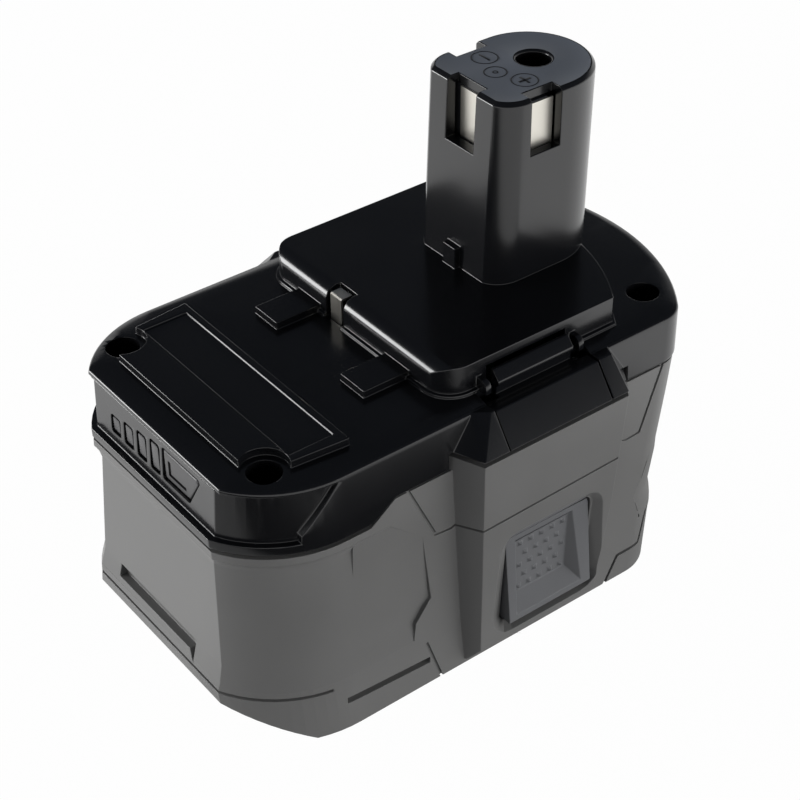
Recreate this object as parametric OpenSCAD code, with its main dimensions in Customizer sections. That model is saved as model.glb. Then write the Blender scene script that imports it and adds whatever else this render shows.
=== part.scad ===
// Stem-type rechargeable battery pack for cordless power tools, in millimetres.
// Width runs along X, the gauge end faces -Y and the stem points up +Z.
// Every sub-part is drawn about the middle of the cell block, then place() centres the whole.

/* [Cells] */
// Diameter of one round cell in its sleeve
cell_d = 18.3; // [17.6:0.1:19]
// Length of one round cell
cell_l = 65; // [63:0.5:72]
// Air between neighbouring cells of a row
cell_gap = 0.1; // [0.1:0.05:0.6]
// Depth of the plastic frame that holds the cell ends
frame_depth = 10; // [7:0.5:14]
// Thickness of the nickel strips welded to the cells
strip_t = 0.12; // [0.1:0.01:0.12]
// Thickness of the paper insulator over the strips
insulator_t = 0.15; // [0.1:0.01:0.15]

/* [Body] */
// Room from the end of a cell to the outside of the body
end_room = 2.9; // [2.9:0.1:5]
// Room from the first cell to the front of the base
front_bay = 31.5; // [30:0.1:38]
// How far the base stands out ahead of the front face of the cover
base_proud = 3.7; // [3.2:0.1:4.2]
// Room from the last cell to the rear of the pack
rear_bay = 19.3; // [18.9:0.2:25]
// Room from the top of the cells to the underside of the roof
top_room = 7.1; // [6.9:0.1:10]
// Wall thickness of the two mouldings
wall = 2.2; // [1.9:0.1:2.2]
// Thickness of the floor of the case
floor_t = 2.2; // [1.6:0.1:3]
// Thickness of the foam under the cells
pad_t = 0.8; // [0.6:0.1:2]
// How far the parting line lies below the cover top along the sides
part_drop = 10.7; // [9.5:0.1:12]
// How far the cover reaches down at the front
front_drop = 14.9; // [13.6:0.1:16.4]
// Open seam shown between the case and the cover
seam = 0.8; // [0.3:0.1:1]
// How far the front lip of the cover stands out
lip_proud = 2.2; // [1.6:0.1:2.6]
// Height of the upright face of the lip
lip_h = 2.3; // [1.6:0.1:3]
// Radius of the creased front corners in plan
corner_r = 25; // [24:0.2:26]
// Centre of the front corners behind the front face
corner_back = 20.1; // [19.6:0.1:21]
// Radius of the curved rear in plan
rear_r = 49.3; // [48.4:0.1:52]
// Radius of the rear corners in plan
rear_corner_r = 8; // [6:0.2:8.6]
// How far the rear flares out toward the seam
rear_flare = 1.1; // [0.4:0.1:1.4]
// Rise of the cover's top above its rounded edge
crown = 0.7; // [0.3:0.1:1]
// How far the rear leans in from top to bottom
rear_lean = 2.3; // [1:0.1:2.6]
// Height of the flared base skirt
skirt_h = 13; // [12:0.1:14]
// Height of the sloped shoulder above the skirt
shoulder_h = 4.3; // [3:0.1:5]
// How far the front wall is set in under its rim
wall_in = 1.5; // [0.8:0.1:1.6]
// Height of the slanted toe under the front
toe_h = 8.2; // [6:0.1:9]
// Length of the slanted toe under the front
toe_l = 14.2; // [12:0.1:18]
// How far the base skirt stands out from the body at the floor
skirt_out = 2.9; // [2:0.1:3.4]

/* [Platform and stem] */
// Height of the raised platform above the cover
plat_h = 7.5; // [6.6:0.1:9]
// Width of the platform
plat_w = 60; // [58.8:0.2:60.4]
// Front of the platform ahead of the middle of the cells
plat_front = 16.6; // [15:0.2:18]
// Rear of the platform behind the middle of the cells
plat_rear = 37.1; // [35.6:0.1:38]
// Radius of the curved rear of the platform
plat_rear_r = 51.5; // [46:0.5:60]
// Radius along the top front edge of the platform
plat_round = 3; // [1:0.2:4]
// Height of the stem above the platform
stem_h = 41; // [36:0.5:46]
// Width of the stem
stem_w = 26.7; // [25.8:0.1:28]
// Place of the flat front of the stem at its top
stem_front = 11.4; // [10.4:0.1:11.6]
// Place of the round back of the stem at its top
stem_rear = 42.2; // [41:0.1:43.4]
// Lean of the stem front from the platform to the top
stem_draft = 2; // [0.5:0.1:2.6]
// Diameter of the guide hole in the stem
stem_hole_d = 7; // [5:0.2:7.4]
// Depth of the guide hole in the stem
stem_hole_h = 30; // [20:1:34]
// Height of the contact windows below the stem top
window_h = 12.7; // [10:0.1:14]
// Width of the two side contact windows
side_window_w = 7.7; // [7:0.1:8]
// Width of the front contact window
front_window_w = 8.8; // [7.6:0.1:10]
// Thickness of the contact plates
contact_t = 0.45; // [0.3:0.05:0.5]

/* [Latches] */
// Place of the latches behind the middle of the cells
latch_y = 4.2; // [3:0.1:5]
// How far a latch bulge stands out from the body
bulge_out = 6.4; // [6.2:0.1:8]
// Reach of a latch bulge ahead of the latch
bulge_front = 20; // [19:0.1:21]
// Reach of a latch bulge behind the latch
bulge_rear = 17.9; // [17:0.1:19]
// How much shorter the bulge's rear is at its foot
bulge_taper = 6.7; // [4:0.1:7]
// Length of the sloped panel of a latch
panel_l = 26.7; // [25:0.1:28.4]
// Length of the hook bar of a latch
hook_l = 19.6; // [16:0.2:20.6]
// Height of the hook bar above the cover top
hook_h = 4.9; // [4:0.1:5]
// Width of the grip button of a latch
grip_w = 22.6; // [18:0.2:23]
// Height of the grip button of a latch
grip_h = 23.3; // [18:0.2:24]
// Height of the lower edge of the grip button
grip_z = 7.7; // [7.4:0.1:9]
// Place of the grip button behind the middle of its latch
grip_y = -0.8; // [-1.2:0.1:0]
// Inward travel of a latch
latch_travel = 2.6; // [1.5:0.1:2.7]
// Wire diameter of a latch spring
spring_wire = 0.6; // [0.4:0.05:0.7]
// Outside diameter of a latch spring
spring_d = 4.4; // [3.8:0.1:4.6]
// Turns of a latch spring
spring_turns = 5; // [4:0.5:6]

/* [Gauge] */
// Width of one gauge window
gauge_w = 3.5; // [2.8:0.1:3.8]
// Distance between gauge windows
gauge_pitch = 4.95; // [4.6:0.05:5]
// Height of the shortest gauge window
gauge_h = 4.3; // [3.6:0.1:4.6]
// Growth of the gauge windows from one to the next
gauge_step = 0.95; // [0.6:0.05:1]
// Width of the gauge button along its top
button_w = 13.8; // [11:0.2:14.4]
// Inward travel of the gauge button
button_travel = 0.6; // [0.3:0.05:0.6]

/* [Fasteners] */
// Distance between the front screws
screw_front_w = 50.8; // [49.6:0.2:52]
// Front screws behind the front face
screw_front_back = 8.9; // [8.6:0.1:9.6]
// Distance between the rear screws
screw_rear_w = 50.2; // [48:0.2:51]
// Diameter of the deep screw wells
well_d = 7; // [6.2:0.1:7.4]

/* [Hidden] */
$fn = 64;
e = 0.02;
far = 200;
pitch = cell_d + cell_gap;
layer = pitch * sqrt(3) / 2;
rows = [[-1, 0], [0, 0], [1, 0], [-1.5, 1], [-0.5, 1], [0.5, 1], [1.5, 1], [-1, 2], [0, 2], [1, 2]];
cell_z = floor_t + pad_t + 0.05 + cell_d / 2;
block_half = 1.5 * pitch + cell_d / 2;
half_w = cell_l / 2 + end_room;
front_ext = block_half + front_bay;
rear_ext = block_half + rear_bay;
shift_y = (front_ext - rear_ext) / 2;
front_y = -front_ext + base_proud;
lip_y = front_y - lip_proud;
corner_c = [half_w - corner_r, front_y + corner_back];
toe_y = -front_ext + toe_l;
roof_z = cell_z + 2 * layer + cell_d / 2 + top_room;
cover_z = roof_z + wall;
cover_top = cover_z + crown;
part_z = cover_z - part_drop;
front_z = cover_z - front_drop;
plat_z = cover_z + plat_h;
stem_z = plat_z + stem_h;
bulge_x = half_w + bulge_out;
bulge_z = cover_z - 7.1;
frame_top = cell_z + 2 * layer + cell_d / 2 + 1.1;
board_t = 1.6;
board_z = frame_top + board_t;
boss_z = front_z - seam - 0.8;
boss_r = well_d / 2 + 1.3;
groove_d = 0.5;
cavity = -wall;
cavity_x = half_w - wall;
cell_room = cell_l / 2 + strip_t + insulator_t + 0.3;
bay_x = cavity_x + 0.9;
arm_out = bulge_x - 2.3;
arm_in = bay_x + latch_travel + 0.4;
bulge_lead = 3.4;
bulge_tail = 5.3;
bulge_root = 0.6;
bulge_rim = 1;
bulge_foot = 1.2;
bulge_under = 2.2;
dish = 3.2;
dish_lean = 0.065;
dish_rim = [5.2, 3.2, 4.5, 1.2];
dish_floor = [0.8, 0.8, 0.6, 0.6];
grip_corner = 2.4;
grip_foot_corner = 0.8;
grip_edge = 0.8;
grip_cut = 0.6;
grip_x = bulge_x - 2.4;
grip_back = bay_x + latch_travel + 0.2;
pocket_x = bulge_x - 3.2;
pocket_top_x = grip_x - grip_cut;
pocket_foot = 5.6;
bump_pitch = [2.9, 3];
bump = [2.2, 0.5, 0.8];
hook_x = half_w - 4.7;
hook_t = 1.8;
hook_foot = 2.9;
shoulder_x = half_w + 1.4;
ear_y = 12.1;
ear_t = 1.4;
ear_r = 1.7;
tab_x = 14.9;
tab_w = 7.8;
tab_l = 11.1;
rib = [4, 3, 5];
raised = 2.5;
field = [51.8, 10.2, 0.45];
ledge_z = cover_z - 0.3;
slide_gap = 0.3;
spring_x0 = cavity_x - 7;
spring_x1 = spring_x0 + 7.8;
spring_z = frame_top + 2.7;
spring_pin_d = spring_d - 2 * spring_wire - 0.8;
spring_pin_l = 1.5;
slot_x = hook_x + hook_foot - latch_travel - slide_gap;
rear_c = rear_ext - rear_flare - rear_r;
screws = [
    [screw_front_w / 2, front_y + screw_front_back, boss_z + 5],
    [screw_rear_w / 2, rear_c + sqrt(pow(rear_r - 6.1, 2) - pow(screw_rear_w / 2, 2)), boss_z + 7]
];
band_y = front_y + 0.1;
wall_in_y = front_y + wall;
gauge_x0 = -14.1;
gauge_r = 0.7;
button_x0 = 3.5;
band_z0 = cover_z - 10.8;
band_z1 = cover_z - 2.3;
rim_z = cover_z - 1.1;
stem_c = stem_rear - stem_w / 2;
stem_edge = 0.8;
plate_x = stem_w / 2 - 2.3;
plate_y = stem_front + 2.75;
window_y = stem_front + 10.75;
hole_y = stem_rear - 12.2;
data_x = -7.9;
data_w = 3.7;
data_y = -plat_front + 0.4;
data_t = 0.5;
data_gap = 0.3;
data_sink = 0.6;
data_bend = 2.7;
shank_r = 1.4;
shank_l = 13;
shank_room = 0.3;
pilot_r = 1.45;
head_gap = 0.4;
head_h = 2.2;
fet = [6, 6.4, 2];
fet_x = 16;
bead_r = 1.2;
fet_pitch = 8;
fuse = [12, 5, 2.6];
led = [2, 1.2, 1.4];
key = [5, 1.5, 5];

// Moves a sub-part from the cell block's middle to the middle of the whole pack.
module place() translate([0, shift_y, 0]) children();

// Draws children on both sides of the middle plane.
module both() {
    children();
    mirror([1, 0, 0]) children();
}

// Extrudes a profile in X and Z along Y, or in Y and Z along X.
module along_y(l) rotate([90, 0, 0]) linear_extrude(l, center = true) children();
module along_x(l) rotate([90, 0, 90]) linear_extrude(l, center = true) children();

// Points on an arc about c from angle a to angle b in n steps, leaving out the first when s is 1.
function arc(c, r, a, b, n, s = 0) = [for (k = [s:n]) let (t = a + (b - a) * k / n) c + r * [cos(t), sin(t)]];

// Closes the right half of an outline with its mirror image.
function closed(h) = concat(h, [for (k = [len(h) - 1:-1:0]) if (h[k][0] > 0.01) [-h[k][0], h[k][1]]]);

// Right half of the curved rear, with the side grown by g and the rear arc by q.
function rear_half(g, q) = let (
    x = half_w - rear_corner_r,
    y = sqrt(pow(rear_r + q - rear_corner_r - g, 2) - x * x),
    b = atan2(y, x)) concat(
        arc([x, rear_c + y], rear_corner_r + g, 0, b, 8),
        arc([0, rear_c], rear_r + q, b, 90, 14, 1));

// Creased front corner, grown outward by g, with the flat front at y.
function front_arc(g, y) = arc(corner_c, corner_r + g, -asin((corner_c[1] - y) / (corner_r + g)), 0, 12);

// Plan outline grown outward by g, with the rear arc grown by q and the flat front at y.
function ring(g, q, y) = closed(concat(front_arc(g, y), rear_half(g, q)));

// Solid through a stack of outlines of equal count, each given as [height, points].
module loft(rings) skin([for (r = rings) [for (p = r[1]) [p[0], p[1], r[0]]]]);

// Solid through a stack of rings of equal count.
module skin(rings) {
    n = len(rings[0]);
    m = len(rings);
    polyhedron([for (r = rings) each r], concat(
        [[for (k = [0:n - 1]) k]],
        [for (i = [0:m - 2]) for (k = [0:n - 1]) [i * n + k, (i + 1) * n + k, i * n + (k + 1) % n]],
        [for (i = [0:m - 2]) for (k = [0:n - 1])
            [i * n + (k + 1) % n, (i + 1) * n + k, (i + 1) * n + (k + 1) % n]],
        [[for (k = [n - 1:-1:0]) (m - 1) * n + k]]));
}

// Plan of a latch bulge: its face at x runs from f ahead of the latch to r behind it, then slopes in by c.
function bulge_ring(f, r, x, c = bulge_tail) = [
    [cavity_x, -f - bulge_lead], [half_w - bulge_root, -f - bulge_lead + bulge_root], [x, -f],
    [x, r], [half_w - bulge_root, r + c - bulge_root], [cavity_x, r + c]];

module right_bulge() translate([0, latch_y, 0]) difference() {
    loft([[bulge_foot, bulge_ring(bulge_front, bulge_rear - bulge_taper, bulge_x)],
        [grip_z + grip_h - 3, bulge_ring(bulge_front, bulge_rear - 0.4 * bulge_taper, bulge_x)],
        [bulge_z - bulge_rim, bulge_ring(bulge_front, bulge_rear, bulge_x)]]);
    along_y(far) polygon([[half_w + skirt_out - 0.5, 0], [bulge_x + 0.2, grip_z - bulge_under],
        [far, grip_z - bulge_under], [far, 0]]);
    right_dish();
}

// Rounded rectangle in Y and Z at x about the grip button, grown by g at its front, rear, top and foot.
function pad(g, q, x) = let (
    y0 = grip_y - grip_w / 2 - g[0] + q,
    y1 = grip_y + grip_w / 2 + g[1] - q,
    z0 = grip_z - g[3] + q,
    z1 = grip_z + grip_h + g[2] - q)
    [for (p = concat(arc([y1, z0], q, -90, 0, 4), arc([y1, z1], q, 0, 90, 4), arc([y0, z1], q, 90, 180, 4),
        arc([y0, z0], q, 180, 270, 4))) [x + dish_lean * (p[1] - grip_z), p[0], p[1]]];

// Shallow dish in the bulge round the button, deeper toward its foot.
module right_dish() skin([
    pad(dish_floor, 3, bulge_x - dish), pad(dish_rim, 6, bulge_x), pad(dish_rim, 6, bulge_x + 9)]);

// Outline of the grip button in Y and Z, with round top corners, grown by g.
module grip_outline(g) hull() for (s = [-1, 1]) translate([grip_y, grip_z]) {
    translate([s * (grip_w / 2 - grip_corner), grip_h - grip_corner]) circle(grip_corner + g, $fn = 24);
    translate([s * (grip_w / 2 - grip_foot_corner), grip_foot_corner]) circle(grip_foot_corner + g, $fn = 24);
}

// Room for a latch: a window for its button, then a wider bay for its arm, open at the top.
module right_bay() translate([0, latch_y, 0]) {
    translate([bay_x + far / 2, 0, 0]) along_x(far) grip_outline(slide_gap);
    translate([bay_x, -panel_l / 2 - slide_gap, grip_z + grip_h - 1 - slide_gap])
        cube([bulge_x - 2 - bay_x, panel_l + 2 * slide_gap, far]);
}

// Part of the space above the parting line, stepped down at the front by a slanted edge.
module above_parting(gap) along_x(far) polygon([
    [-far, front_z - gap], [front_y + 26, front_z - gap], [front_y + 32, part_z - gap],
    [far, part_z - gap], [far, far], [-far, far]]);

module lower_case() color("#26272a") place() difference() {
    union() {
        difference() {
            body(0, 0);
            sunken_wall();
            above_parting(seam);
            rear_scoop();
            rear_step();
            base_crease();
        }
        both() right_bulge();
    }
    intersection() {
        loft([[floor_t, hollow_ring(rear_lean)], [part_z, hollow_ring(0.4)], [far, hollow_ring(0.4)]]);
        cavity_less_bosses();
    }
    both() right_bay();
    for (s = [-1, 1]) for (p = screws)
        translate([s * p[0], p[1], boss_z - 9]) cylinder(r = pilot_r, h = far);
    slots();
    base_groove();
    panel_groove();
    toe(0);
}

// Outside of the case inset by d, running on by t past its top and foot.
module body(d, t) loft([[-t, ring(skirt_out - d, -rear_lean - d, -front_ext + d)],
    [skirt_h - 2, ring(1.8 - d, -rear_lean * 0.8 - d, -front_ext + d)],
    [skirt_h, ring(1.7 - d, -rear_lean * 0.75 - d, -front_ext + 0.3 + d)],
    [part_z - 21, ring(0.7 - d, -rear_lean * 0.6 - d, lip_y - 0.4 + d)],
    [part_z - 9, ring(0.1 - d, -d, lip_y + 0.1 + d)],
    [part_z + t, ring(-0.4 - d, rear_flare - 0.2 - d, lip_y + 0.5 + d)]]);

// Cut of depth d into the outside of the case along a profile in Y and Z.
module engraved(d) difference() {
    along_x(far) children();
    body(d, 1);
}

// Outline of the hollow of the case, with its rear leaning in by d.
function hollow_ring(d) = closed(concat(front_arc(cavity - 1.4, front_y + 1.2),
    [[cavity_x, -block_half - 1]], rear_half(cavity, cavity - d)));

// Wedge under the slanted toe at the front, raised by t.
module toe(t) translate([0, 0, t]) along_x(far)
    polygon([[toe_y + e, -e], [toe_y - 2 * toe_l, -e], [toe_y - 2 * toe_l, 2 * toe_h]]);

// Space outside the set-in front wall, between the rim and the skirt, fading out toward the latches.
module sunken_wall() intersection() {
    difference() {
        translate([-far / 2, -far / 2, skirt_h - 0.2]) cube([far, far, front_z - skirt_h - 2]);
        loft([[skirt_h - 1, ring(2.2, 9, -front_ext - 0.2)], [skirt_h, ring(1.68, 9, -front_ext + 0.32)],
            [skirt_h + shoulder_h, ring(0.5, 9, -front_ext + 1.4)],
            [front_z - 5.2, ring(0.1 - wall_in, 9, lip_y + 1.2)],
            [front_z - 3.6, ring(-0.9, 9, lip_y + 0.9)], [front_z - 2.2, ring(0.2, 9, lip_y + 0.1)]]);
    }
    along_x(far) polygon([[-far, 0], [front_y + 33, 0], [front_y + 35.4, skirt_h + 4],
        [front_y + 39.6, skirt_h + 9], [front_y + 38, front_z - 9], [front_y + 30, front_z - 2.2],
        [-far, front_z - 2.2]]);
    union() {
        translate([-far / 2, -far, 0]) cube([far, far + front_y + 22, far]);
        both() translate([half_w + 0.2, front_y + 36.5, 0]) rotate([0, 0, -4.5])
            translate([0, -far / 2, 0]) cube([far, far, far]);
    }
}

// Slanted hollow across each rear corner above the foot.
module rear_scoop() difference() {
    along_x(far) translate([rear_ext, 0])
        polygon([[-18.4, 33], [-24.7, 19.2], [-22.6, 12.4], [-18.1, 13.8], [14, 15], [14, 34]]);
    loft([[10, ring(2.2, -1, -front_ext)], [13.4, ring(1.7, -rear_lean * 0.75, -front_ext)],
        [19, ring(1.15, -rear_lean * 0.66 - 1, -front_ext)], [34, ring(0.6, -rear_lean * 0.3, -front_ext)]]);
}

// Step round the foot of the rear corners.
module rear_step() engraved(0.7) translate([rear_ext - 33.1, 0]) polygon([
    [-1.2, -2], [3.9, 5.4], [10.6, 5.4], [13.4, 12.4], [far, 12.4],
    [far, 13.1], [12.8, 13.1], [10.1, 6.1], [3.5, 6.1], [-2, -2]]);

// Fine line down the base in front of each latch.
module base_crease() engraved(groove_d) polygon([[-26.8, 10.6], [-26.2, 10.6], [-22.4, -2], [-23, -2]]);

// All space except the four screw posts, which stand in the case up to the seam, and the toe's floor.
module cavity_less_bosses() difference() {
    translate([-far / 2, -far / 2, 0]) cube(far);
    for (s = [-1, 1]) {
        translate([s * screws[0][0], screws[0][1], 0]) cylinder(r = 2.8, h = boss_z);
        translate([s * screws[1][0], screws[1][1], boss_z - 5.4]) cylinder(r = boss_r, h = 5.4);
    }
    toe(floor_t + 0.4);
}

// Slot moulded into the front of the base and one in each side.
module slots() {
    translate([-0.8, -front_ext, skirt_h + 2.8]) along_y(5) polygon([
        [-15, -1.5], [12.6, -1.5], [14.2, -3.8], [14.2, 0.6], [13.4, 1.5], [-15, 1.5]]);
    both() translate([half_w + 3, front_y + 28.1, skirt_h - 6.6]) rotate([-3, 0, 0])
        cube([4.4, 21, 1.4], center = true);
}

// Fine groove round the front of the base, just above the toe.
module base_groove() intersection() {
    translate([0, 0, skirt_h - 2.3]) linear_extrude(0.7) difference() {
        square(far, center = true);
        polygon(ring(1, 9, -front_ext + 1));
    }
    translate([-far / 2, -far, 0]) cube([far, far + front_y + 14.8, far]);
}

// Fine groove that bounds the panel round each latch.
module panel_groove() difference() {
    root = latch_y - bulge_front - bulge_lead;
    along_x(far) polygon([[-29.6, part_z + 0.6], [-22.9, 37.6], [root, 37.2],
        [latch_y - bulge_front, 38.4], [latch_y + bulge_rear, 39.4], [28.4, 36.6], [32, 36.8],
        [38.5, part_z + 0.6], [39.2, part_z + 0.6],
        [32.4, 36.2], [28.4, 36], [latch_y + bulge_rear, 38.9], [latch_y - bulge_front, 37.9], [root, 36.7],
        [-23.4, 37.1], [-30.2, part_z + 0.6]]);
    body(groove_d, 1);
    both() translate([0, latch_y, 0]) loft([
        [20, bulge_ring(bulge_front - 0.4, bulge_rear - 0.5 * bulge_taper - 0.4, bulge_x - groove_d)],
        [part_z + 2, bulge_ring(bulge_front - 0.4, bulge_rear - 0.4, bulge_x - groove_d)]]);
}

// Plan of the platform, grown outward by g.
module plat_plan(g) {
    c = plat_rear - plat_rear_r;
    intersection() {
        translate([0, c]) circle(plat_rear_r + g, $fn = 180);
        translate([-plat_w / 2 - g, 0]) square([plat_w + 2 * g, far]);
    }
    translate([-plat_w / 2 - g, -plat_front + 6]) square([plat_w + 2 * g, plat_front]);
    translate([-plat_w / 2 + 6, -plat_front - g]) square([plat_w - 12, plat_front]);
    for (s = [-1, 1]) translate([s * (plat_w / 2 - 6), -plat_front + 6]) circle(6 + g);
}

// Plan of the stem, grown by g, with its front moved by f and its back by b.
function stem_ring(g, f = 0, b = 0) = let (
    r = 6.64 + g,
    c = [stem_w / 2 - 6.64, stem_front + 6 + f],
    a = -asin((6 + g) / r)) closed(concat(
        arc(c, r, a, 0, 8),
        arc([0, stem_c + b], stem_w / 2 + g, 0, 90, 14)));

// Half of the cover's share of a latch bulge, sloping in toward the top.
module right_shoulder() translate([0, latch_y, 0])
    loft([[bulge_z, bulge_ring(bulge_front, bulge_rear, bulge_x)],
        [cover_z, bulge_ring(bulge_front - 5.3, bulge_rear - 0.9, shoulder_x, 1.4)]]);

// Rounded fin that guards each end of a hook bar.
module right_ears() for (s = [-1, 1]) translate([plat_w / 2, latch_y + s * ear_y, cover_z + 0.2]) {
    translate([1.4, ear_t / 2, 1.9]) rotate([90, 0, 0]) cylinder(r = ear_r, h = ear_t);
    translate([-1, -ear_t / 2, 0]) cube([4.1, ear_t, 1.9]);
    translate([-1, -ear_t / 2, 0]) cube([2.4, ear_t, 3.6]);
}

// Wall that backs a latch spring, with the pin that locates it.
module right_seat() translate([0, latch_y, 0]) {
    translate([spring_x0 - 1.4, -4, frame_top + 0.3]) cube([1.4, 8, plat_z - wall - frame_top]);
    translate([spring_x0 - e, 0, spring_z]) rotate([0, 90, 0]) cylinder(d = spring_pin_d, h = spring_pin_l);
}

// Frame of raised rails round the shallow field on the front of the cover.
module label_frame() difference() {
    translate([0, 0, cover_z - 0.5]) linear_extrude(raised + 0.5) difference() {
        polygon([[-28.8, front_y + 26.1], [28.8, front_y + 26.1], [27.7, front_y + 13.3],
            [21.7, front_y + 5.8], [-21.7, front_y + 5.8], [-27.7, front_y + 13.3]]);
        for (s = [-1, 1]) translate([s * screws[0][0], screws[0][1]]) circle(d = well_d + 3);
    }
    translate([-field[0] / 2, front_y + 14.2, cover_z + raised - field[2]])
        cube([field[0], field[1], raised]);
}

// Outlines of the four gauge windows, grown by g.
module gauge_shapes(g) {
    for (i = [0:3]) translate([gauge_x0 + i * gauge_pitch, band_z0 + 0.5])
        translate([-gauge_w / 2 + gauge_r, gauge_r]) offset(r = gauge_r + g, $fn = 16)
            square([gauge_w - 2 * gauge_r, gauge_h + i * gauge_step - 2 * gauge_r]);
}

// Slanted outline of the gauge button, grown by g, with round corners.
module button_shape(g) offset(r = gauge_r, $fn = 16) offset(delta = -gauge_r) polygon([
    [button_x0 - g, band_z0 + 0.6 - g], [button_x0 + button_w - 4.2 + 1.1 * g, band_z0 + 0.6 - g],
    [button_x0 + button_w + 1.2 * g, band_z1 - 0.3 + g], [button_x0 - g, band_z1 - 0.3 + g]]);

module top_cover() color("#1b1c1f") place() difference() {
    union() {
        difference() {
            loft([[front_z, ring(-0.2, rear_flare - 0.2, lip_y + 0.2)],
                [front_z + 0.4, ring(0, rear_flare, lip_y)],
                [part_z + 0.6, ring(0, rear_flare, lip_y)],
                [cover_z - 1.2, ring(-0.6, rear_flare, front_y - 0.3)],
                [cover_z - 0.3, ring(-0.7, rear_flare, front_y - 0.2)],
                [cover_z + 0.1, ring(-1.2, rear_flare - 0.5, front_y + 0.3)],
                [cover_top, ring(-3.2, rear_flare - 2.6, front_y + 2.3)]]);
            difference() {
                translate([-far / 2, -far / 2, -1]) cube([far, far, far / 2]);
                above_parting(0);
            }
            band_recess();
            cover_hollow();
            both() translate([cavity_x, latch_y - bulge_front - bulge_lead - slide_gap, 0])
                cube([far, bulge_front + bulge_rear + bulge_lead + bulge_tail + 2 * slide_gap, bulge_z]);
        }
        difference() {
            both() right_shoulder();
            cover_hollow();
        }
        cover_bosses();
        both() right_seat();
        difference() {
            translate([0, 0, roof_z]) linear_extrude(plat_z - roof_z) plat_plan(0);
            translate([-far / 2, -plat_front - 1, plat_z - plat_round]) difference() {
                cube([far, plat_round + 1, plat_round + 1]);
                translate([-1, plat_round + 1, 0]) rotate([0, 90, 0]) cylinder(r = plat_round, h = far + 2);
            }
        }
        translate([0, 0, cover_top - e]) linear_extrude(0.7) plat_plan(0.8);
        for (s = [-1, 1]) translate([s * tab_x - tab_w / 2, -plat_front - tab_l, cover_z - e])
            cube([tab_w, tab_l + 1, raised]);
        label_frame();
        both() right_ears();
        loft([[roof_z + 1, stem_ring(0, -stem_draft, -1)], [stem_z - stem_edge, stem_ring(0)],
            [stem_z, stem_ring(-stem_edge)]]);
        translate([-rib[0] / 2, stem_front - stem_draft - 0.9, plat_z - e]) cube(rib);
    }
    difference() {
        union() {
            translate([0, 0, roof_z - 1]) linear_extrude(plat_z - wall - roof_z + 1) plat_plan(cavity);
            translate([0, 0, roof_z - 1]) linear_extrude(stem_z - wall - roof_z + 1)
                polygon(stem_ring(cavity));
        }
        translate([0, hole_y, plat_z + 4]) cylinder(d = stem_hole_d + 3, h = far);
        cover_bosses();
        both() right_seat();
    }
    translate([0, hole_y, stem_z - stem_hole_h]) cylinder(d = stem_hole_d, h = far);
    translate([0, hole_y, stem_z - 0.45]) cylinder(d1 = stem_hole_d, d2 = stem_hole_d + 1, h = 0.5);
    both() translate([plate_x - 0.95, window_y - side_window_w / 2, stem_z - window_h])
        cube([far, side_window_w, far]);
    translate([-front_window_w / 2, -far, stem_z - window_h - 0.9])
        cube([front_window_w, far + plate_y, far]);
    data_channel();
    both() translate([0, latch_y, 0]) {
        translate([slot_x, -panel_l / 2 - slide_gap, roof_z - e])
            cube([far, panel_l + 2 * slide_gap, cover_top + 0.15 - roof_z]);
        translate([spring_x1 - latch_travel - slide_gap, -panel_l / 2 - slide_gap, 0])
            cube([far, panel_l + 2 * slide_gap, roof_z]);
        translate([hook_x - latch_travel - 0.4, -hook_l / 2 - 0.4, roof_z - 1])
            cube([far, hook_l + 0.8, cover_z + hook_h + 0.4 - roof_z + 1]);
    }
    for (s = [-1, 1]) for (p = screws) {
        translate([s * p[0], p[1], p[2]]) cylinder(d = well_d, h = far);
        translate([s * p[0], p[1], 0]) cylinder(r = shank_r + shank_room, h = far);
    }
    translate([0, front_y + 1, 0]) along_y(4) gauge_shapes(0);
    translate([0, front_y + 1, 0]) along_y(4) button_shape(0);
}

// The four posts of the cover that stand on the posts of the case, clear of its walls.
module cover_bosses() intersection() {
    for (s = [-1, 1]) for (p = screws) translate([s * p[0], p[1], boss_z])
        cylinder(r = boss_r, h = roof_z - boss_z + 1);
    union() {
        above_parting(0);
        linear_extrude(far) offset(delta = -slide_gap) polygon(hollow_ring(rear_lean));
    }
}

// Hollow of the cover, wider round the ends of the cells.
module cover_hollow() {
    translate([0, 0, -1]) linear_extrude(roof_z + 1) polygon(ring(cavity - 1.1, cavity, front_y + wall));
    translate([-cell_room, -block_half, -1]) cube([2 * cell_room, 2 * block_half, frame_top + 2]);
}

// Channel in the platform's front edge for the data contact, with its slot through the roof.
module data_channel() {
    translate([data_x - 1.1, -plat_front - 1, cover_top]) cube([data_w + 2.2, 2.4, far]);
    translate([data_x - 1.1, -plat_front - 1, plat_z - 1.3]) cube([data_w + 2.2, 4.8, far]);
    translate([data_x - data_gap, data_y - data_gap, roof_z - 1])
        cube([data_w + 2 * data_gap, data_t + 2 * data_gap, plat_h]);
}

// Recessed band round the front above the lip, which ends on each side in a slanted ramp.
module band_recess() intersection() {
    difference() {
        translate([-far / 2, -far / 2, front_z + lip_h]) cube([far, far, rim_z - front_z - lip_h]);
        loft([[front_z, ring(-1.3, 3, front_y - 0.7)], [front_z + lip_h, ring(-1.3, 3, front_y - 0.7)],
            [rim_z + 1, ring(-1.75, 3, front_y - 0.05)]]);
    }
    union() {
        along_x(far) polygon([[-far, 0], [front_y + 11, 0], [front_y + 11, band_z0], [front_y + 19, rim_z],
            [-far, rim_z + 1]]);
        both() translate([half_w, front_y + 15.8, band_z0 + 1]) rotate([0, -8.7, -12.8])
            translate([0, -far, -far]) cube(2 * far);
    }
}

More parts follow.
